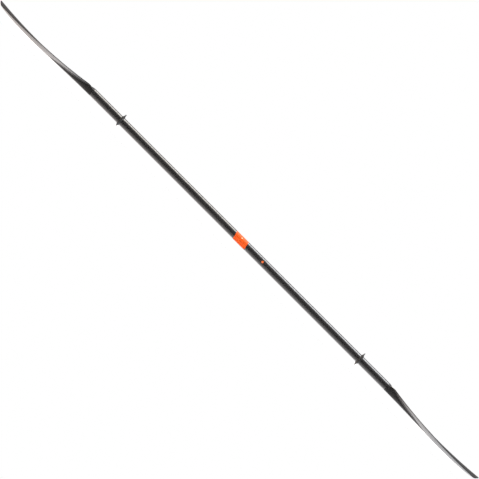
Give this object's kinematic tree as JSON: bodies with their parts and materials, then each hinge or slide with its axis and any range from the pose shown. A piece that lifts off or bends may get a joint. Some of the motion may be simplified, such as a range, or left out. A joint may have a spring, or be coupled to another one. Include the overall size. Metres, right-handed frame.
{
  "type": "double-bladed touring paddle",
  "caption": "Two-piece carbon touring paddle: straight shaft, spooned asymmetric blades, drip rings, and a push-button joint for feathering and taking apart.",
  "frame": {"origin": "on the shaft's axis, midway between the two blade tips, at the middle of the part's box", "axes": "+X along the shaft to the blade of the half with the button, +Z the way both power faces look, +Y towards the blades' long edges"},
  "size_m": [2.3, 0.164, 0.0542],
  "materials": {
    "shaft_carbon": "clear-coated carbon weave, gloss",
    "blade_carbon": "moulded carbon weave, satin gloss",
    "ferrule_composite": "ground glass-filled composite",
    "foam": "closed-cell foam",
    "black_plastic": "moulded",
    "black_rubber": "matt moulded rubber",
    "orange_plastic": "moulded, semi-gloss",
    "spring_steel": "bright rolled",
    "label_vinyl": "printed vinyl film"
  },
  "bodies": {
    "left_half": {"left_shaft": "shaft_carbon", "left_neck_plug": "ferrule_composite", "left_bulkhead": "foam", "spigot": "ferrule_composite", "spigot_cap": "black_plastic", "label": "label_vinyl", "left_blade_face": "blade_carbon", "left_blade_back": "blade_carbon", "left_blade_core": "foam"},
    "seal": {"seal_ring": "black_rubber"},
    "right_half": {"right_shaft": "shaft_carbon", "right_neck_plug": "ferrule_composite", "right_bulkhead": "foam", "receiver": "ferrule_composite", "latch_spring": "spring_steel", "right_blade_face": "blade_carbon", "right_blade_back": "blade_carbon", "right_blade_core": "foam"},
    "button": {"release_button": "orange_plastic", "latch_ring": "spring_steel"},
    "left_ring": {"left_drip_ring": "black_rubber"},
    "right_ring": {"right_drip_ring": "black_rubber"}
  },
  "joints": [
    {"name": "feather_turn", "type": "hinge", "parent": "left_half", "child": "seal", "pos_m": [0.04, 0, 0], "axis": [1, 0, 0], "range_deg": [-60, 60], "deforming": ["latch_ring"]},
    {"name": "pull_apart", "type": "slide", "parent": "seal", "child": "right_half", "axis": [1, 0, 0], "range_m": [0, 0.16], "deforming": ["latch_ring"]},
    {"name": "button_press", "type": "slide", "parent": "right_half", "child": "button", "axis": [0, 1, 0], "range_m": [0, 0.0015], "stiffness_N_per_m": 2000, "springref_m": -0.001, "deforming": ["latch_spring"]},
    {"name": "left_ring_slide", "type": "slide", "parent": "left_half", "child": "left_ring", "axis": [1, 0, 0], "range_m": [-0.1, 0.3]},
    {"name": "right_ring_slide", "type": "slide", "parent": "right_half", "child": "right_ring", "axis": [1, 0, 0], "range_m": [-0.3, 0.1]}
  ]
}
